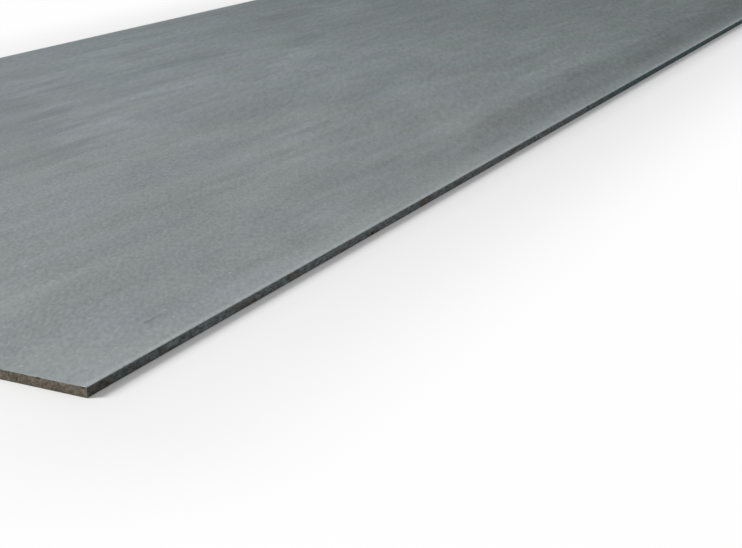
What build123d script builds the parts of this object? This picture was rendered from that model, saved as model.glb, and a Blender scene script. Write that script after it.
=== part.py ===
import os

from build123d import *

# Sheet sizes, in mm
length = 3000.0
width = 1200.0
thickness = 10.0

# Arris sizes: the long edges are trimmed and eased on the line, the ends are sawn later
long_edge_radius = 0.8
sawn_end_bevel = 0.4

# Board lying on its back: width along X, length along Y, front face up, origin under the middle
with BuildPart() as board:
    # Section across the width, with the arrises of the two long edges rounded over
    with BuildSketch(Plane.XZ) as section:
        with Locations((0, thickness / 2)):
            RectangleRounded(width, thickness, long_edge_radius)
    extrude(amount=length / 2, both=True)

    # Square sawn ends, their sharp arrises broken all round
    sawn_ends = board.faces().filter_by(Axis.Y)
    chamfer(sawn_ends.edges(), sawn_end_bevel)
board.part.label = "board"

os.makedirs("parts", exist_ok=True)
export_step(board.part, "parts/board.step")
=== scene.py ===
# %% [markdown]
# # A cement-grey cladding board
# One large flat sheet lies on its back on a pale floor, seen from just past its near right corner.
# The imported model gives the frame: X runs across the width, Y along the length, Z out of the front face,
# and the origin is on the floor under the middle. The board's own three sizes come from that model's box.

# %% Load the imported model
import math

import bpy
import numpy as np
from mathutils import Matrix, Vector


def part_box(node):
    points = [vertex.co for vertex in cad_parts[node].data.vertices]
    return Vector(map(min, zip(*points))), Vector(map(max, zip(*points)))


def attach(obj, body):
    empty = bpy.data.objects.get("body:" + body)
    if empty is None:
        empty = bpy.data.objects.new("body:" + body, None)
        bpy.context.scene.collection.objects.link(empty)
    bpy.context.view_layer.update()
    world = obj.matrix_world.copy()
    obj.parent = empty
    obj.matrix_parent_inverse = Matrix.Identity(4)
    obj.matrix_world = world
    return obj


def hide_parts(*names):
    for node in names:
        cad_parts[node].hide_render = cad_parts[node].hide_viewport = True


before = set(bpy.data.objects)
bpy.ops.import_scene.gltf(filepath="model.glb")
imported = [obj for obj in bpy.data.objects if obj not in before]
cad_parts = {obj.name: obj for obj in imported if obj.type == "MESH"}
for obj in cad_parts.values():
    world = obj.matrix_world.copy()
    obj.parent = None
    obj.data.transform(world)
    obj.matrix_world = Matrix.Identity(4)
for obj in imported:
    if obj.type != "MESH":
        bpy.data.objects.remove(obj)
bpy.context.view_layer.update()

MM = 0.001
low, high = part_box("board")
WIDTH, LENGTH, THICKNESS = high - low
print(f"board {WIDTH / MM:.0f} x {LENGTH / MM:.0f} x {THICKNESS / MM:.1f} mm")

# %% [markdown]
# ## Camera
# The photograph's straight edges meet at two vanishing points, which give the lens, the tilt and the
# heading. Two facts then place the camera: how high it stands over the front face, and the pixel that the
# near corner falls on. Walking back from that corner along the pixel's own line of sight gives the
# camera's place, with no lens shift.

# %% Place the camera
PHOTO_WIDE, PHOTO_HIGH = 742, 548
FOCAL_PIXELS = 1435.0
TILT_DOWN, HEADING = math.radians(18.17), math.radians(26.58)
HEIGHT_OVER_FACE = 481.7 * MM
NEAR_CORNER_PIXEL = (86.6, 387.9)
SENSOR_MM = 36.0

look = Vector((-math.sin(HEADING), math.cos(HEADING), -math.tan(TILT_DOWN))).normalized()
aside = Vector((math.cos(HEADING), math.sin(HEADING), 0))
upward = aside.cross(look)


def sight_line(pixel):
    """Direction from the camera through a pixel of the photograph."""
    across, down = pixel[0] - PHOTO_WIDE / 2, pixel[1] - PHOTO_HIGH / 2
    return look * FOCAL_PIXELS + aside * across - upward * down


near_corner = Vector((high.x, low.y, high.z))
to_corner = sight_line(NEAR_CORNER_PIXEL)
camera_place = near_corner + to_corner * (HEIGHT_OVER_FACE / to_corner.z)


def spot_on(pixel, axis, level):
    """Where a pixel's line of sight meets the plane at this level on an axis."""
    way = sight_line(pixel)
    return camera_place + way * ((level - camera_place[axis]) / way[axis])


lens = bpy.data.cameras.new("photo camera")
lens.sensor_fit, lens.sensor_width = "HORIZONTAL", SENSOR_MM
lens.lens = FOCAL_PIXELS / PHOTO_WIDE * SENSOR_MM
camera = bpy.data.objects.new("photo camera", lens)
turn = Matrix((aside, upward, -look)).transposed().to_4x4()
camera.matrix_world = Matrix.Translation(camera_place) @ turn
bpy.context.collection.objects.link(camera)
bpy.context.scene.camera = camera
print("camera at", [round(v, 3) for v in camera_place], "lens", round(lens.lens, 1), "mm")

# %% [markdown]
# ## Sums on sockets
# Node trees are easier to read as sums than as lists of links. This small class wraps one output socket:
# plus, minus and the other signs add Math nodes, and `node` adds any other kind, its settings first and
# its sockets after. The same class serves the shape of the board and its finishes.

# %% A socket that can be used in sums
class Wire:
    """One output socket of a node tree."""

    def __init__(self, tree, socket=None):
        self.tree, self.socket = tree, socket

    def node(self, kind, settings=(), sockets=(), output=0):
        """Adds a node to the tree and gives one of its outputs."""
        made = self.tree.nodes.new(kind)
        for name, value in dict(settings).items():
            setattr(made, name, value)
        for name, value in dict(sockets).items():
            if isinstance(value, Wire):
                self.tree.links.new(value.socket, made.inputs[name])
            else:
                made.inputs[name].default_value = value
        return Wire(self.tree, made.outputs[output]) if made.outputs else None

    def out(self, name):
        """Another output of the same node."""
        return Wire(self.tree, self.socket.node.outputs[name])

    def __add__(self, other):
        return maths("ADD", self, other)

    def __radd__(self, other):
        return maths("ADD", other, self)

    def __sub__(self, other):
        return maths("SUBTRACT", self, other)

    def __rsub__(self, other):
        return maths("SUBTRACT", other, self)

    def __mul__(self, other):
        return maths("MULTIPLY", self, other)

    def __rmul__(self, other):
        return maths("MULTIPLY", other, self)

    def __truediv__(self, other):
        return maths("DIVIDE", self, other)

    def __pow__(self, other):
        return maths("POWER", self, other)

    def __gt__(self, other):
        return maths("GREATER_THAN", self, other)

    def __abs__(self):
        return maths("ABSOLUTE", self)

    def between(self, start, end):
        """0 before start, 1 after end, and a smooth rise from one to the other."""
        return self.node("ShaderNodeMapRange", {"interpolation_type": "SMOOTHSTEP"},
                         {"Value": self, "From Min": start, "From Max": end})

    def fading(self, start, end):
        """1 before start, 0 after end, and a smooth fall from one to the other."""
        return 1 - self.between(start, end)

    def noise(self, size, detail=2.0, rough=0.5, seed=0.0):
        """Cloudy noise from 0 to 1 over this vector, with blotches of this size along X, Y and Z."""
        shrunk = self.node("ShaderNodeVectorMath", {"operation": "DIVIDE"}, {0: self, 1: size})
        return self.node("ShaderNodeTexNoise", {"noise_dimensions": "4D"}, {
            "Vector": shrunk, "W": seed, "Scale": 1.0, "Detail": detail, "Roughness": rough})


def maths(operation, *terms):
    """A Math node on sockets and numbers."""
    wire = next(term for term in terms if isinstance(term, Wire))
    return wire.node("ShaderNodeMath", {"operation": operation}, enumerate(terms))


print("a socket now takes + - * / ** > and abs")

# %% [markdown]
# ## The board's outline as a rule
# On the real sheet the long edges are trimmed on the line and the ends are sawn to length. A plain box
# could show neither, and modelling the wear by hand would not fit a board of another size. So the skin is
# one grid that a node tree wraps round the board, and the tree's inputs carry the sizes and the wear.

# %% Start the tree and its named sizes
# a hair less than the real thickness, so that rounding never lifts the skin out of the board's box
NEARLY_WHOLE = 0.9999

wrap = bpy.data.node_groups.new("wrapped board", "GeometryNodeTree")
wrap.interface.new_socket("Geometry", in_out="OUTPUT", socket_type="NodeSocketGeometry")
board_sizes = {
    "Width": WIDTH, "Length": LENGTH, "Thickness": THICKNESS * NEARLY_WHOLE, "Step": 2.5 * MM,
    "Long edge radius": 0.8 * MM, "End bevel": 0.4 * MM, "Corner wear": 0.10 * MM,
    "End roughness": 0.40 * MM, "Long edge roughness": 0.12 * MM, "Arris wear": 0.06 * MM,
    "End chips": 0.7 * MM, "Long edge chips": 0.30 * MM, "Nick slope": 0.5, "Seed": 7.0,
}
given = {}
for name in board_sizes:
    given[name] = wrap.interface.new_socket(name, in_out="INPUT", socket_type="NodeSocketFloat")
for name in ("Face finish", "Edge finish"):
    given[name] = wrap.interface.new_socket(name, in_out="INPUT", socket_type="NodeSocketMaterial")
entry = wrap.nodes.new("NodeGroupInput")
size = {name: Wire(wrap, entry.outputs[name]) for name in given}
width, length, thickness, seed = (size[name] for name in ("Width", "Length", "Thickness", "Seed"))
print("named sizes of the tree:", ", ".join(given))

# %% [markdown]
# ## Columns round the board, rows over its edge
# The grid's columns step along the outline, and its rows run from the middle of the underside, up the edge
# and in to the middle of the front face. The outline needs no list of points: seen along the way round, X
# and Y are triangle waves with their tips cut off. A sine crowds the rows of the edge towards its arrises,
# and a power does so on the faces, because the fine relief is there.

# %% Wrap a grid round the board
FACE_ROWS, EDGE_ROWS = 9, 8
ROWS = 2 * FACE_ROWS + EDGE_ROWS
EDGE_SHARE = EDGE_ROWS / ROWS
FIRST_ROWS, ROW_CROWDING_POWER = 5 * MM, 4.0
# one column more than steps closes the ring, and a half more rounds the count to the nearest
CLOSING_COLUMN = 1.5
# the rows rise from -1 at the middle of the underside to 1 at the middle of the front face
RISE_SPAN = 2.0

empty = Wire(wrap)
outline = 2 * (width + length)
grid = empty.node("GeometryNodeMeshGrid", {}, {
    "Size X": outline, "Size Y": RISE_SPAN,
    "Vertices X": outline / size["Step"] + CLOSING_COLUMN, "Vertices Y": ROWS + 1})
sheet_spot = empty.node("ShaderNodeSeparateXYZ", {}, {0: empty.node("GeometryNodeInputPosition")})
walk, rise = sheet_spot.out("X") + outline / 2, sheet_spot.out("Y")


def cut_wave(middle, reach):
    """A coordinate along the outline: it stays at its reach for the side whose middle is given."""
    away = abs(maths("WRAP", walk - middle, outline / 2, outline / -2))
    return maths("MAXIMUM", maths("MINIMUM", (width + length) / 2 - away, reach), reach * -1)


right_middle, far_middle = width + length / 2, width * 1.5 + length
outer_x = cut_wave(right_middle, width / 2)
outer_y = cut_wave(far_middle, length / 2)
up_edge = maths("MAXIMUM", maths("MINIMUM", rise / EDGE_SHARE, 1.0), -1.0)
height = thickness / 2 * (1 + maths("SINE", up_edge * (math.pi / 2)))
into_face = maths("MAXIMUM", abs(rise) - EDGE_SHARE, 0.0) / (1 - EDGE_SHARE)
inset = FIRST_ROWS * into_face + (width / 2 - FIRST_ROWS) * into_face ** ROW_CROWDING_POWER
outer = empty.node("ShaderNodeCombineXYZ", {}, {"X": outer_x, "Y": outer_y, "Z": height})
print("rows", ROWS, "columns", round(2 * (WIDTH + LENGTH) / board_sizes["Step"]))

# %% [markdown]
# ## Sawn ends, trimmed sides and broken arrises
# A saw tears the grains out of the ends and crumbles their arrises in small bites, while the trimmed long
# edges stay almost smooth. All of it goes inwards, so the board never grows past its real size. Noise with
# a fixed seed gives the rough cut, and a second, sparser noise along each arris gives the bites.

# %% Rough cuts and bites
GRAIN, GRAIN_SHARE = (3.5 * MM, 3.5 * MM, 2.5 * MM), 0.8
TEAR, TEAR_STARTS, TEAR_FULL, TEAR_SHARE = (8 * MM, 8 * MM, 30 * MM), 0.55, 0.8, 0.9
TRIM_RIPPLE = (14 * MM, 14 * MM, 6 * MM)
BITE, BITE_DETAIL, BITE_STARTS, BITE_FULL = (14 * MM, 14 * MM, 20 * MM), 3.0, 0.60, 0.74
TEAR_SEED, RIPPLE_SEED, BITE_SEED = 11, 23, 37
WEAR_REACH, WEAR_POWER = 3 * MM, 2.0
EVEN_CRUMBLE, GRAINY_CRUMBLE = 0.4, 0.8
HAIR, BARELY_IN = 0.05 * MM, 0.01
ARC_SAG = 1 - math.sqrt(0.5)

on_end = abs(outer_y) > length / 2 - HAIR
on_side = abs(outer_x) > width / 2 - HAIR
on_edge = 1 - (into_face > BARELY_IN)
grainy = outer.noise(GRAIN, seed=seed)
torn = outer.noise(TEAR, seed=seed + TEAR_SEED).between(TEAR_STARTS, TEAR_FULL)
end_cut = size["End roughness"] * (grainy * GRAIN_SHARE + torn * TEAR_SHARE)
side_cut = size["Long edge roughness"] * outer.noise(TRIM_RIPPLE, seed=seed + RIPPLE_SEED)

from_arris = inset + thickness / 2 - abs(height - thickness / 2)
near_arris = maths("MAXIMUM", 1 - from_arris / WEAR_REACH, 0.0) ** WEAR_POWER
bitten = outer.noise(BITE, BITE_DETAIL, seed=seed + BITE_SEED).between(BITE_STARTS, BITE_FULL)
chip_depth = size["End chips"] * on_end + size["Long edge chips"] * on_side * (1 - on_end)
rounding = maths("MAXIMUM", size["Long edge radius"] * on_side, size["End bevel"])
round_in = ARC_SAG * rounding * maths("MAXIMUM", 1 - from_arris / rounding, 0.0) ** WEAR_POWER
crumbled = near_arris * size["Arris wear"] * (EVEN_CRUMBLE + GRAINY_CRUMBLE * grainy)
wear = crumbled + near_arris * chip_depth * bitten
deepest_bite = board_sizes["End chips"] + board_sizes["Arris wear"]
print("bites up to", round(deepest_bite / MM, 2), "mm at the ends")

# %% [markdown]
# ## Nicks that the photograph shows
# A few knocks can be made out one by one: three on the near end, a bite out of the lower arris of the
# right edge, and one mark further along it. Each is named by its pixel, and the line of sight through the
# pixel meets the edge's own plane at the place where the nick goes. The grain of the cut makes its rim
# ragged, because a round dent would look stamped.

# %% Set the nicks
END_NICKS = (((83.0, 388.2), 3.4 * MM), ((39.0, 378.6), 3.2 * MM), ((15.7, 378.0), 3.2 * MM))
SIDE_NICKS = (((372.8, 234.6), 5.0 * MM), ((588.4, 107.4), 5.0 * MM))
RAGGED = 1.0

nicks = [(spot_on(pixel, 1, low.y), reach) for pixel, reach in END_NICKS]
nicks += [(spot_on(pixel, 0, high.x), reach) for pixel, reach in SIDE_NICKS]
nick = 0.0
for place, reach in nicks:
    place.z = min(max(place.z, low.z), high.z)
    gap = outer.node("ShaderNodeVectorMath", {"operation": "DISTANCE"}, {0: outer, 1: place}, "Value")
    ragged_reach = reach * (1 + RAGGED * (grainy - 0.5))
    nick = nick + size["Nick slope"] * maths("MAXIMUM", ragged_reach - gap, 0.0)
print("nicks at", [[round(v / MM) for v in place] for place, reach in nicks], "mm")

# %% [markdown]
# ## From the grid to the skin
# Every point moves inwards by its row, its rounding and its wear. The points also carry what the finishes
# need to know: where the skin is cut, sawn, worn or broken. The rows shade smoothly over the arrises, and
# only the four upright corners stay sharp, as a saw leaves them.

# %% Put the wrapped grid in place
MERGE_WITHIN, MOSTLY = 0.01 * MM, 0.75

knocked = on_edge * on_end * on_side * size["Corner wear"]
inward_x = inset + round_in + wear + on_edge * on_side * (side_cut + nick) + knocked
inward_y = inset + round_in + wear + on_edge * on_end * (end_cut + nick) + knocked
shaped = empty.node("ShaderNodeCombineXYZ", {}, {
    "X": outer_x * (1 - inward_x / (width / 2)),
    "Y": outer_y * (1 - inward_y / (length / 2)),
    "Z": height - maths("SIGN", height - thickness / 2) * (round_in + wear)})

skin = grid
noted = {
    "cut": on_edge, "sawn": on_end, "corner": on_edge * on_end * on_side,
    "wear": (wear + nick * on_edge) / MM, "broken": on_end * (round_in + crumbled) / MM}
for name, value in noted.items():
    skin = skin.node("GeometryNodeStoreNamedAttribute", {"data_type": "FLOAT", "domain": "POINT"},
                     {"Geometry": skin, "Name": name, "Value": value})


def mostly(name):
    """Picks the edges or faces of the skin whose points carry most of a noted value."""
    carried = empty.node("GeometryNodeInputNamedAttribute", {"data_type": "FLOAT"}, {"Name": name})
    return carried > MOSTLY


skin = skin.node("GeometryNodeSetPosition", {}, {"Geometry": skin, "Position": shaped})
skin = skin.node("GeometryNodeMergeByDistance", {}, {"Geometry": skin, "Distance": MERGE_WITHIN})
skin = skin.node("GeometryNodeSetShadeSmooth", {}, {"Geometry": skin, "Shade Smooth": True})
skin = skin.node("GeometryNodeSetShadeSmooth", {"domain": "EDGE"}, {
    "Geometry": skin, "Selection": mostly("corner"), "Shade Smooth": False})
skin = skin.node("GeometryNodeRealizeInstances", {}, {"Geometry": skin})
skin = skin.node("GeometryNodeSetMaterial", {}, {"Geometry": skin, "Material": size["Face finish"]})
skin = skin.node("GeometryNodeSetMaterial", {}, {
    "Geometry": skin, "Selection": mostly("cut"), "Material": size["Edge finish"]})
empty.node("NodeGroupOutput", {}, {"Geometry": skin})
print("nodes in the tree:", len(wrap.nodes))

# %% [markdown]
# ## What every finish needs
# Cement is dull: the board shows almost no gloss, only a fine relief that breaks up the light. Both
# finishes therefore end in the same way, with a colour, a high roughness and a bump, and differ in what
# feeds them. A picture of the board could serve too, but sums of noise stay sharp close up.

# %% Helpers for finishes
SHINE = 0.02


def new_finish(name):
    """A material with an empty tree, and a wire to start from."""
    finish = bpy.data.materials.new(name)
    finish.use_nodes = True
    finish.node_tree.nodes.clear()
    return finish, Wire(finish.node_tree)


def mixed(start, share, first, second):
    """A colour between two, by share."""
    return start.node("ShaderNodeMix", {"data_type": "RGBA"}, {0: share, 6: first, 7: second}, 2)


def toned(start, colour, tone):
    """A colour made lighter or darker by a factor."""
    return start.node("ShaderNodeVectorMath", {"operation": "SCALE"}, {0: colour, "Scale": tone})


def noted_on(start, name, none, full):
    """How far a value that the mesh carries has risen from none to full."""
    return start.node("ShaderNodeAttribute", {"attribute_name": name}, output="Fac").between(none, full)


def close_finish(start, colour, roughness, relief, depth):
    """Joins colour, roughness and a fine relief in one surface and ends the tree."""
    bump = start.node("ShaderNodeBump", {}, {"Height": relief, "Distance": depth, "Strength": 1.0})
    surface = start.node("ShaderNodeBsdfPrincipled", {}, {
        "Base Color": colour, "Roughness": roughness, "Normal": bump, "Specular IOR Level": SHINE})
    start.node("ShaderNodeOutputMaterial", {}, {"Surface": surface})


print("shine of both finishes", SHINE)

# %% [markdown]
# ## The face
# The face is dull cement grey, never even. The felt that the sheet was formed on leaves a slanted mottle,
# and the rollers leave soft patches, streaks and thin lines along the length. Towards the far end the print
# of the felt gives way to longer flakes, and the left half is quieter than the right. Each of these is
# noise stretched to its own size on the board, so the finish stays right on any view.

# %% Noises of the face
# the noise changes within this much of the thickness, so that the two faces differ
APART_Z = 5 * MM
# size across, along and through the board, then detail, roughness and seed
FACE_NOISES = {
    "drift": ((350 * MM, 600 * MM, APART_Z), 2.0, 0.50, 3.0),
    "clouds": ((250 * MM, 400 * MM, APART_Z), 3.0, 0.50, 5.0),
    "patches": ((70 * MM, 280 * MM, APART_Z), 3.0, 0.50, 9.0),
    "streaks": ((34 * MM, 600 * MM, APART_Z), 2.0, 0.50, 13.0),
    "lines": ((8 * MM, 1000 * MM, APART_Z), 1.0, 0.50, 17.0),
    "blotch": ((20 * MM, 110 * MM, APART_Z), 2.0, 0.50, 18.0),
    "mottle": ((9 * MM, 27 * MM, APART_Z), 2.0, 0.50, 19.0),
    "felt": ((4.4 * MM, 10.2 * MM, APART_Z), 2.0, 0.45, 21.0),
    "flakes": ((8 * MM, 45 * MM, APART_Z), 1.0, 0.50, 22.0),
    "dust": ((1.1 * MM, 1.6 * MM, APART_Z), 3.0, 0.60, 23.0),
    "warm patches": ((90 * MM, 200 * MM, APART_Z), 3.0, 0.60, 33.0),
    "green patches": ((70 * MM, 150 * MM, APART_Z), 3.0, 0.60, 35.0),
}
FELT_SLANT, FLAKE_SLANT, BEND = math.radians(31), math.radians(23), 90 * MM


def printed(name, vector):
    """One noise of the face, from -0.5 to 0.5."""
    return vector.noise(*FACE_NOISES[name]) - 0.5


def turned(vector, slant):
    """The same vector, turned about Z."""
    return vector.node("ShaderNodeVectorRotate", {"rotation_type": "Z_AXIS"},
                       {"Vector": vector, "Angle": -slant})


face_finish, start = new_finish("cement face")
place = start.node("ShaderNodeTexCoord", output="Object")
parts = start.node("ShaderNodeSeparateXYZ", {}, {0: place})
across, along, level = parts.out("X"), parts.out("Y"), parts.out("Z")
bent_across = across + BEND * printed("drift", place)
bent = start.node("ShaderNodeCombineXYZ", {}, {"X": bent_across, "Y": along, "Z": level})
twill = turned(place, FELT_SLANT)
clouds, blotch, dust = (printed(name, place) for name in ("clouds", "blotch", "dust"))
patches, streaks, lines = (printed(name, bent) for name in ("patches", "streaks", "lines"))
mottle, felt = (printed(name, twill) for name in ("mottle", "felt"))
flakes = printed("flakes", turned(place, FLAKE_SLANT))
print("noises of the face:", ", ".join(FACE_NOISES))

# %% Tone of the bare face
SMOOTHER_FROM, SMOOTHER_TO = LENGTH * -0.4, 0.0
LEFT_WHOLE, LEFT_GONE = WIDTH * -0.2, WIDTH * 0.25

smoother = along.between(SMOOTHER_FROM, SMOOTHER_TO)
left_half = across.fading(LEFT_WHOLE, LEFT_GONE)
# how much each noise moves the tone by the near end, and what the smoother part and the left half add to it
tone_shares = (
    (clouds, 0.16, 0.0, 0.0),
    (patches, 0.38, 0.0, 0.0),
    (streaks, 0.20, 0.03, 0.0),
    (lines, 0.08, -0.06, 0.0),
    (blotch, 0.18, 0.04, 0.0),
    (mottle, 0.18, 0.18, -0.08),
    (smoother * flakes, 0.36, 0.0, -0.13),
    (felt, 0.57, -0.37, -0.12),
    (dust, 0.20, -0.10, -0.05),
)
random_tone = 0.0
for noise, by_near_end, on_smoother, on_left in tone_shares:
    random_tone = random_tone + (by_near_end + on_smoother * smoother + on_left * left_half) * noise
print("noises in the tone:", len(tone_shares))

# %% [markdown]
# ## Marks that the photograph shows
# Some rubs and streaks are large enough to place one by one: pale rubs left of the middle, pale streaks
# near both sides, dark streaks, soft patches, and one scratch by the near corner. Each is given by the two
# pixels where it starts and ends, taken to the face along the line of sight, by its half width on the
# board and by its strength. Where a mark runs out of the picture, its end lies past the border. The noises
# above make its sides wander and break it up.

# %% Pale rubs and dark streaks
PALE_MARKS = {
    "rub left of the middle": ((308, 49), (274, 72), 44 * MM, 0.10),
    "tail of the rub": ((215, 76), (124, 109), 40 * MM, 0.10),
    "smudge at its end": ((117, 116), (127, 128), 60 * MM, 0.07),
    "streak near the left edge": ((206, 25), (34, 70), 42 * MM, 0.07),
    "short streak beside it": ((216, 35), (149, 53), 34 * MM, 0.07),
    "streak near the right edge": ((592, 51), (516, 85), 38 * MM, 0.09),
    "soft strip before the middle": ((315, 154), (200, 204), 26 * MM, 0.05),
    "streak at the far left": ((365, 2), (330, 15), 46 * MM, 0.10),
    "soft patch right of the middle": ((593, 22), (536, 45), 60 * MM, 0.08),
    "soft patch in the middle": ((327, 63), (252, 85), 55 * MM, 0.08),
    "soft patch before the middle": ((357, 118), (289, 146), 55 * MM, 0.09),
    "soft strip at the near right": ((378, 204), (260, 270), 60 * MM, 0.06),
}
DARK_MARKS = {
    "patch at the far left": ((311, 8), (259, 22), 52 * MM, 0.10),
    "long streak left of the middle": ((234, 47), (112, 82), 34 * MM, 0.11),
    "short streak beyond the rub": ((322, 34), (280, 48), 46 * MM, 0.12),
    "thin line by the near end": ((278, 154), (40, 253), 18 * MM, 0.06),
    "patch at the far end": ((669, 1), (658, 6), 30 * MM, 0.06),
    "smudge by the right edge": ((316, 217), (266, 243), 48 * MM, 0.06),
    "soft patch at the near left": ((-8, 87), (32, 169), 190 * MM, 0.10),
    "soft patch along the left": ((120, 46), (-56, 97), 150 * MM, 0.06),
    "soft streak right of the middle": ((400, 76), (308, 111), 50 * MM, 0.07),
    "smudge round the scratch": ((198, 295), (142, 325), 40 * MM, 0.06),
    "scratch by the near corner": ((161, 315), (144, 324), 2.5 * MM, 0.20),
}
WOBBLE, BREAK_UP = 2.0, 1.5
# shares of a mark's half width and half length where it starts to fade and where it is gone
FADE_ACROSS, GONE_ACROSS, FADE_ALONG, GONE_ALONG = 0.2, 1.0, 0.5, 1.3

wobble = WOBBLE * blotch + WOBBLE * streaks


def mark(pixels, half_width):
    """1 along a mark on the front face, fading out to its sides and ends."""
    first, last = (spot_on(pixel, 2, high.z) for pixel in pixels)
    lean = (last.x - first.x) / (last.y - first.y)
    beside = abs(across + half_width * wobble - (along - first.y) * lean - first.x)
    middle, reach = (first.y + last.y) / 2, abs(last.y - first.y) / 2
    past = abs(along - middle)
    core = beside.fading(half_width * FADE_ACROSS, half_width * GONE_ACROSS)
    return core * past.fading(reach * FADE_ALONG, reach * GONE_ALONG)


marks = 0.0
for sign, group in ((1, PALE_MARKS), (-1, DARK_MARKS)):
    for first, last, half_width, strength in group.values():
        marks = marks + sign * strength * mark((first, last), half_width)
on_front = level > THICKNESS / 2
marks = marks * on_front * (1.0 + BREAK_UP * mottle + BREAK_UP * blotch)
print("marks:", len(PALE_MARKS), "pale and", len(DARK_MARKS), "dark")

# %% [markdown]
# ## Bands beside the long edges
# Both arrises are paler. Behind the right one lies a paler strip and then a darker band with a ragged
# border, which starts past the near end, and far along the board that arris keeps a pale rim, a painted
# highlight for the sheen that it catches. The left side has only a faint dark band. All are measured from
# the side, so they follow the board's width. Along the length the face is painted lighter by the near end
# and darker over the far part: painted light and painted shade of the lamp's fall-off.

# %% Bands of the face
# distances from the long edge where a band starts to fade and where it is gone; the right band rises first
ARRIS_STRIP, RIM, PALER_STRIP = (2 * MM, 11 * MM), (6 * MM, 18 * MM), (8 * MM, 50 * MM)
LEFT_BAND, RIGHT_BAND_RISES, RIGHT_BAND = (45 * MM, 95 * MM), (15 * MM, 45 * MM), (90 * MM, 150 * MM)
RAGGED_BY_PATCHES, RAGGED_BY_BLOTCH = 60 * MM, 30 * MM
# the same from the near end, and places along the length
END_STRIP, PAST_NEAR, FAR_PART = (20 * MM, 260 * MM), (LENGTH * -0.42, LENGTH * 0.05), (0.0, LENGTH * 0.3)
BARE_TONE = 0.975
# lifts and dims: painted light by the near end, a painted highlight on the far rim, painted shade far along
END_PAINTED_LIGHT, ARRIS_PALER, STRIP_PALER, STRIP_PALER_LOST, RIM_HIGHLIGHT = 0.06, 0.27, 0.14, 0.10, 0.24
FAR_PAINTED_SHADE, LEFT_DARKER, RIGHT_DARKER = 0.05, 0.02, 0.15

on_right = across > 0
from_side = WIDTH / 2 - abs(across)
ragged = from_side + RAGGED_BY_PATCHES * patches + RAGGED_BY_BLOTCH * blotch
past_near, far_part = along.between(*PAST_NEAR), along.between(*FAR_PART)
left_band = ragged.fading(*LEFT_BAND) * (1 - on_right)
right_band = ragged.between(*RIGHT_BAND_RISES) * ragged.fading(*RIGHT_BAND) * on_right
paler_strip = (STRIP_PALER - STRIP_PALER_LOST * past_near) * from_side.fading(*PALER_STRIP)
# the pale rim is a painted highlight, for the sheen that the far right arris catches
painted_rim_highlight = RIM_HIGHLIGHT * far_part * from_side.fading(*RIM)
tone = BARE_TONE + random_tone + marks + (paler_strip + painted_rim_highlight) * on_right
# the near end is painted lighter: painted light of the lamp close by
tone = tone + END_PAINTED_LIGHT * (along + LENGTH / 2).fading(*END_STRIP) + ARRIS_PALER * from_side.fading(*ARRIS_STRIP)
# the far part is painted darker: painted shade of the lamp's fall-off
tone = tone - FAR_PAINTED_SHADE * far_part - LEFT_DARKER * left_band - RIGHT_DARKER * past_near * right_band
print("darker band on the right", round((RIGHT_BAND[1] - RIGHT_BAND_RISES[0]) / MM), "mm wide")

# %% [markdown]
# ## Colour of the face
# Cool and warm cement greys drift into one another, and the far half turns slightly green. Lime has bloomed
# in a few small white specks with ragged rims, which show best by the near end. Where an arris is chipped
# or broken, the brown core of the sheet comes through.

# %% Cement greys and lime specks
COOL_GREY, WARM_GREY = (0.270, 0.298, 0.312, 1), (0.279, 0.302, 0.304, 1)
GREEN_GREY, LIME_WHITE = (0.262, 0.304, 0.303, 1), (0.50, 0.53, 0.53, 1)
FAR_HALF = (LENGTH * -0.25, LENGTH * 0.15)
WARMTH, NEAR_WARMER, FAR_COOLER, LEFT_COOLER = (-0.18, 0.18), 0.07, 0.14, 0.12
GREENNESS = (-0.12, 0.16)
SPECK_CELL, SPECK_RADIUS, CELLS_WITHOUT = 26 * MM, 2.8 * MM, 0.58
SMALLEST_SPECK, SPECK_SIZE_POWER, SPECK_CORE, SPECK_RAGGED = 0.45, 2.0, 0.1, 0.16
SPECK_WHITE, SPECK_LOST_FAR, SPECK_LOST_LEFT = 0.55, 0.45, 0.08

far_half = along.between(*FAR_HALF)
warm_lean = NEAR_WARMER - FAR_COOLER * far_half - LEFT_COOLER * left_half
warmth = (printed("warm patches", place) + warm_lean).between(*WARMTH)
greenness = far_half * printed("green patches", place).between(*GREENNESS)
greys = mixed(start, greenness, mixed(start, warmth, COOL_GREY, WARM_GREY), GREEN_GREY)
grey = toned(start, greys, tone)

cells = start.node("ShaderNodeVectorMath", {"operation": "DIVIDE"},
                   {0: place, 1: (SPECK_CELL, SPECK_CELL, APART_Z)})
speck = start.node("ShaderNodeTexVoronoi", {"voronoi_dimensions": "2D"}, {"Vector": cells, "Scale": 1.0})
draw = start.node("ShaderNodeSeparateColor", {}, {0: speck.out("Color")})
grown = SMALLEST_SPECK + (1 - SMALLEST_SPECK) * draw.out("Green") ** SPECK_SIZE_POWER
speck_size = SPECK_RADIUS / SPECK_CELL * grown
speck_share = (speck + SPECK_RAGGED * dust).fading(SPECK_CORE * speck_size, speck_size)
speck_white = SPECK_WHITE - SPECK_LOST_FAR * smoother - SPECK_LOST_LEFT * left_half
specked = mixed(start, speck_share * (draw > CELLS_WITHOUT) * speck_white, grey, LIME_WHITE)
print("specks in", round(100 * (1 - CELLS_WITHOUT)), "of 100 cells of", round(SPECK_CELL / MM), "mm")

# %% Finish the face
CORE_BROWN = (0.135, 0.116, 0.092, 1)
# depths of wear and of broken arris in millimetres, where the core starts to show and where it is bare
CHIPPED, BROKEN = (0.35, 0.9), (0.05, 0.12)
DULLNESS, FELT_DULLNESS = 0.86, 0.2
FELT_RELIEF, MOTTLE_RELIEF, LINE_RELIEF, DUST_RELIEF, FACE_RELIEF = 0.6, 0.3, 0.2, 0.3, 0.35 * MM

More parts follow.
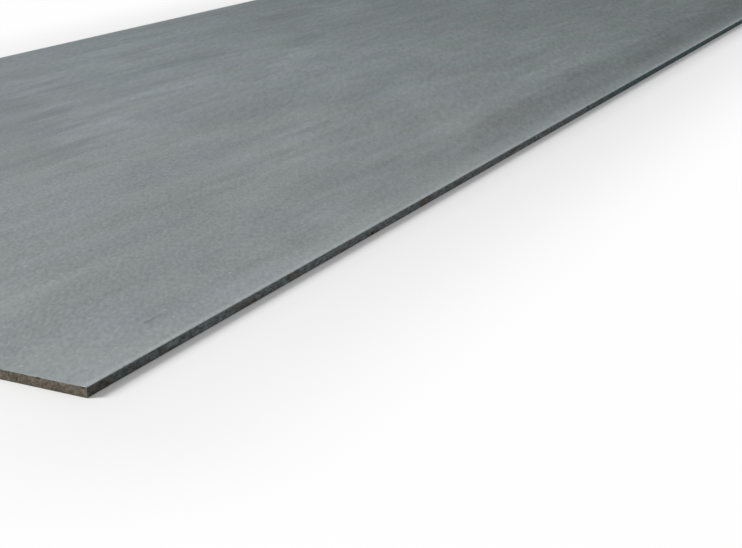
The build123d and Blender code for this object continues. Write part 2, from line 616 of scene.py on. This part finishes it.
worn = maths("MAXIMUM", noted_on(start, "wear", *CHIPPED), noted_on(start, "broken", *BROKEN))
relief = FELT_RELIEF * felt + MOTTLE_RELIEF * mottle + LINE_RELIEF * lines + DUST_RELIEF * dust
colour = mixed(start, worn, specked, CORE_BROWN)
close_finish(start, colour, DULLNESS + FELT_DULLNESS * felt, relief, FACE_RELIEF)
print("face finish nodes:", len(face_finish.node_tree.nodes))

# %% [markdown]
# ## The cut edge
# Sawing opens the core: brown-grey, grainy, with dark pits where grains fell out and a few pale and ochre
# grains. The long edges were trimmed while the sheet was green and have a greyer, closer surface, darker by
# the near end and cooler at the far one. The change from one kind of cut to the other follows the mesh, so
# both share one finish.

# %% Grain of the edge
# size across, along and through the board, then detail, roughness and seed
EDGE_NOISES = {
    "coarse": ((5 * MM, 9 * MM, 4 * MM), 3.0, 0.65, 41.0),
    "fine": ((1.8 * MM, 2.4 * MM, 1.7 * MM), 2.0, 0.60, 43.0),
    "patch": ((45 * MM, 60 * MM, 20 * MM), 3.0, 0.60, 47.0),
    "strokes": ((2.2 * MM, 2.2 * MM, 9 * MM), 2.0, 0.50, 53.0),
    "crumbs": ((0.7 * MM, 0.9 * MM, 0.7 * MM), 2.0, 0.60, 59.0),
}
# noted values where a sawn end, a paler corner or a knock starts and where it is whole
SAWN, PALE_CORNER, KNOCKED = (0.8, 1.0), (0.2, 1.0), (0.5, 1.6)
# levels of the noises: pits and torn strokes lie below theirs, and grains above
PIT, TORN_STROKE, GRAIN_SHOWS = (0.31, 0.47), (0.31, 0.41), (0.56, 0.70)
PITS_ON_TRIM, GRAINS_ON_TRIM = 0.8, 0.75

edge_finish, start = new_finish("sawn edge")
place = start.node("ShaderNodeTexCoord", output="Object")
coarse, fine, patch, strokes, crumbs = (place.noise(*made) for made in EDGE_NOISES.values())
coarse, crumbs = coarse - 0.5, crumbs - 0.5
at_end = noted_on(start, "sawn", *SAWN)


def by_cut(trimmed, sawn):
    """A number for the trimmed long edges that turns into another for the sawn ends."""
    return trimmed + (sawn - trimmed) * at_end


pits = fine.fading(*PIT) * by_cut(PITS_ON_TRIM, 1.0)
torn_strokes = strokes.fading(*TORN_STROKE) * at_end
grains = fine.between(*GRAIN_SHOWS) * by_cut(GRAINS_ON_TRIM, 1.0)
print("noises of the edge:", ", ".join(EDGE_NOISES))

# %% Finish the edge
CORE_GREY, FAR_GREY = (0.240, 0.273, 0.280, 1), (0.152, 0.222, 0.236, 1)
PIT_BLACK, OCHRE, PALE_GRAIN = (0.028, 0.025, 0.021, 1), (0.21, 0.16, 0.095, 1), (0.25, 0.235, 0.205, 1)
COARSE_ON_TRIM, COARSE_ON_SAWN, PATCH_TONE, CRUMB_TONE, CORNER_PALER = 2.8, 2.0, 1.2, 1.2, 0.2
BROWN_PATCH, BROWN_SHARE, PALE_PATCH, GRAIN_STRENGTH = (0.48, 0.62), 0.8, (0.42, 0.58), 0.6
NEAR_PART, NEAR_DARKER, FAR_TURN = (LENGTH * -0.48, LENGTH * -0.44), 0.24, (LENGTH * -0.1, LENGTH * 0.05)
PIT_DARK, TORN_DARK, KNOCK_DARK = 0.75, 0.65, 0.9
EDGE_DULLNESS, COARSE_RELIEF, FINE_RELIEF, CRUMB_RELIEF, EDGE_RELIEF = 0.95, 0.5, 0.35, 0.25, 0.9 * MM

along = start.node("ShaderNodeSeparateXYZ", {}, {0: place}).out("Y")
tone = 1 + by_cut(COARSE_ON_TRIM, COARSE_ON_SAWN) * coarse + PATCH_TONE * (patch - 0.5)
tone = tone + CRUMB_TONE * crumbs + CORNER_PALER * noted_on(start, "corner", *PALE_CORNER)
tone = tone * (1 - NEAR_DARKER * (1 - at_end) * along.fading(*NEAR_PART))
trimmed_grey = mixed(start, along.between(*FAR_TURN), CORE_GREY, FAR_GREY)
brown = maths("MAXIMUM", at_end, BROWN_SHARE * patch.between(*BROWN_PATCH))
base = toned(start, mixed(start, brown, trimmed_grey, CORE_BROWN), tone)
grain = mixed(start, patch.between(*PALE_PATCH), OCHRE, PALE_GRAIN)
grained = mixed(start, grains * GRAIN_STRENGTH, base, grain)
fallen_out = maths("MAXIMUM", pits * PIT_DARK, torn_strokes * TORN_DARK)
dark = maths("MAXIMUM", fallen_out, noted_on(start, "wear", *KNOCKED) * KNOCK_DARK)
colour = mixed(start, dark, grained, PIT_BLACK)
relief = COARSE_RELIEF * coarse + FINE_RELIEF * fine + CRUMB_RELIEF * crumbs
close_finish(start, colour, EDGE_DULLNESS, relief, EDGE_RELIEF)
print("edge finish nodes:", len(edge_finish.node_tree.nodes))

# %% [markdown]
# ## From the rule to a plain mesh
# The modifier's inputs are set by their identifiers before anything looks at the object. The result is then
# copied to a plain mesh, because later steps keep meshes and drop live modifiers. A grid starts with one
# empty finish slot, which goes too.

# %% Make the board
maker = bpy.data.objects.new("board maker", bpy.data.meshes.new("board maker"))
bpy.context.collection.objects.link(maker)
modifier = maker.modifiers.new("wrapped board", "NODES")
modifier.node_group = wrap
for name, value in {**board_sizes, "Face finish": face_finish, "Edge finish": edge_finish}.items():
    modifier[given[name].identifier] = value
graph = bpy.context.evaluated_depsgraph_get()
board_mesh = bpy.data.meshes.new_from_object(maker.evaluated_get(graph))
board_mesh.name = "cladding_board"
bpy.data.objects.remove(maker)

finish_of_face = np.empty(len(board_mesh.polygons), np.int32)
board_mesh.polygons.foreach_get("material_index", finish_of_face)
is_edge = finish_of_face == board_mesh.materials.find(edge_finish.name)
board_mesh.materials.clear()
board_mesh.materials.append(face_finish)
board_mesh.materials.append(edge_finish)
board_mesh.polygons.foreach_set("material_index", is_edge.astype(np.int32))
board = bpy.data.objects.new("cladding_board", board_mesh)
bpy.context.collection.objects.link(board)
board_mesh.calc_loop_triangles()
print("board triangles", len(board_mesh.loop_triangles), "edge faces", int(is_edge.sum()))

# %% [markdown]
# ## A flat layout for the skin
# The finishes need no layout of their own, but a picture of them does when the model leaves Blender. Both
# faces lie side by side, and the four edges are strips beside them, drawn wide enough for ten millimetres
# to show. Each face of the mesh goes to the side that its normal looks at most.

# %% Lay the skin out flat
FACE_WIDE, STRIP_WIDE, MARGIN, END_LONG = 0.42, 0.026, 0.006, 0.47

corner_vertex = np.empty(len(board_mesh.loops), np.int32)
board_mesh.loops.foreach_get("vertex_index", corner_vertex)
points = np.empty(len(board_mesh.vertices) * 3)
board_mesh.vertices.foreach_get("co", points)
share = (points.reshape(-1, 3) - np.array(low)) / np.array(high - low)
corner_share = share[corner_vertex]
normals = np.empty(len(board_mesh.polygons) * 3)
board_mesh.polygons.foreach_get("normal", normals)
normals = normals.reshape(-1, 3)
main_axis = np.abs(normals).argmax(1)
side = 2 * main_axis + (normals[np.arange(len(normals)), main_axis] > 0)
corner_counts = np.empty(len(board_mesh.polygons), np.int32)
board_mesh.polygons.foreach_get("loop_total", corner_counts)
corner_side = np.repeat(side, corner_counts)

faces_end = 2 * (FACE_WIDE + MARGIN) + MARGIN
strip_step = STRIP_WIDE + MARGIN
whole = 1 - 2 * MARGIN
# left edge, right edge, near end, far end, underside, front face: where each starts, which two axes it
# shows and how far it spans
layout = [
    (faces_end, MARGIN, 2, 1, STRIP_WIDE, whole),
    (faces_end + strip_step, MARGIN, 2, 1, STRIP_WIDE, whole),
    (faces_end + 2 * strip_step, MARGIN, 2, 0, STRIP_WIDE, END_LONG),
    (faces_end + 2 * strip_step, 1 - MARGIN - END_LONG, 2, 0, STRIP_WIDE, END_LONG),
    (MARGIN, MARGIN, 0, 1, FACE_WIDE, whole),
    (2 * MARGIN + FACE_WIDE, MARGIN, 0, 1, FACE_WIDE, whole),
]
flat = np.zeros((len(corner_side), 2))
for number, (start_u, start_v, axis_u, axis_v, span_u, span_v) in enumerate(layout):
    here = corner_side == number
    flat[here, 0] = start_u + span_u * corner_share[here, axis_u]
    flat[here, 1] = start_v + span_v * corner_share[here, axis_v]
flat_map = board_mesh.uv_layers.new(name="OFBake")
flat_map.uv.foreach_set("vector", flat.astype(np.float32).ravel())
print("flat layout spans", flat.min(0).round(3), "to", flat.max(0).round(3))

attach(board, "root")
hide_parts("board")

# %% [markdown]
# ## Floor
# The floor is pale. What the camera sees of it is lifted towards white, so that it reads as a studio sweep,
# while the light that it throws back on the edges stays modest. Close to the board less of it is lifted, so
# the soft shadow shows, and a grey band of painted contact shade rings the board on every side, lit or not.

# %% Floor
FLOOR_SIZE, FLOOR_DROP = 40.0, 0.1 * MM
PALE, RETURNED, WHITE = (0.92, 0.92, 0.92, 1), (0.40, 0.40, 0.40, 1), (1, 1, 1, 1)
GLOW_TOUCHING, GLOW_NEAR_END, GLOW_FAR_END, GLOW_AWAY = 0.08, 0.25, 0.6, 0.97
SHADE_START, SHADE_END, GLOW_REACH = 8 * MM, 60 * MM, 0.3


def seen_directly(start):
    """1 for what the camera sees, straight or in a reflection, and 0 for light that only bounces."""
    path = start.node("ShaderNodeLightPath", output="Is Camera Ray")
    mirrored, through = path.out("Is Glossy Ray"), path.out("Is Transmission Ray")
    return maths("MAXIMUM", maths("MAXIMUM", path, mirrored), through)


half = FLOOR_SIZE / 2
floor_outline = ((-half, -half), (half, -half), (half, half), (-half, half))
floor_mesh = bpy.data.meshes.new("floor")
floor_mesh.from_pydata([(x, y, -FLOOR_DROP) for x, y in floor_outline], [], [(0, 1, 2, 3)])
floor = bpy.data.objects.new("floor", floor_mesh)
bpy.context.collection.objects.link(floor)
floor_finish, start = new_finish("pale floor")
seen = seen_directly(start)
floor_spot = start.node("ShaderNodeSeparateXYZ", {}, {0: start.node("ShaderNodeTexCoord", output="Object")})
past_side = maths("MAXIMUM", abs(floor_spot) - WIDTH / 2, 0.0)
past_end = maths("MAXIMUM", abs(floor_spot.out("Y")) - LENGTH / 2, 0.0)
from_board = maths("SQRT", past_side ** 2.0 + past_end ** 2.0)
towards_far = floor_spot.out("Y").between(LENGTH / -2, LENGTH / 2)
glow_close = GLOW_NEAR_END + (GLOW_FAR_END - GLOW_NEAR_END) * towards_far
# painted contact shade: within a few centimetres of the board the floor is lifted less, on its lit sides
# too
painted_contact_shade = (GLOW_TOUCHING - glow_close) * from_board.fading(SHADE_START, SHADE_END)
glow_share = glow_close + painted_contact_shade + (GLOW_AWAY - glow_close) * from_board.between(0.0, GLOW_REACH)
matt = start.node("ShaderNodeBsdfDiffuse", {}, {"Color": mixed(start, seen, RETURNED, PALE)})
white = start.node("ShaderNodeEmission", {}, {"Color": WHITE, "Strength": 1.0})
both = start.node("ShaderNodeMixShader", {}, {0: seen * glow_share, 1: matt, 2: white})
start.node("ShaderNodeOutputMaterial", {}, {"Surface": both})
floor_mesh.materials.append(floor_finish)
print("floor", FLOOR_SIZE, "m square")

# %% [markdown]
# ## Lamp and background
# One large soft lamp stands high over the near left, so the light falls off along the board as it does in
# the photograph, the near end is lit and the right edge stays in its own shade. The background is white to
# the camera, and only a part of it lights the board.

# %% Lamp and background
LAMP_PLACE, LAMP_AIM = Vector((-2.95, -4.0, 2.5)), Vector((0, -1.0, 0))
LAMP_SIDE, LAMP_WATTS, AMBIENT = 2.0, 310.0, 0.35

lamp_data = bpy.data.lights.new("soft lamp", "AREA")
lamp_data.shape, lamp_data.size, lamp_data.energy = "SQUARE", LAMP_SIDE, LAMP_WATTS
lamp = bpy.data.objects.new("soft lamp", lamp_data)
lamp.location = LAMP_PLACE
lamp.rotation_euler = (LAMP_AIM - LAMP_PLACE).to_track_quat("-Z", "Y").to_euler()
bpy.context.collection.objects.link(lamp)

world = bpy.data.worlds.new("studio")
bpy.context.scene.world = world
world.use_nodes = True
world.node_tree.nodes.clear()
start = Wire(world.node_tree)
glow = start.node("ShaderNodeBackground", {}, {
    "Color": WHITE, "Strength": AMBIENT + (1 - AMBIENT) * seen_directly(start)})
start.node("ShaderNodeOutputWorld", {}, {"Surface": glow})
bpy.context.scene.view_settings.view_transform = "Standard"
print("lamp", LAMP_WATTS, "W, ambient", AMBIENT)
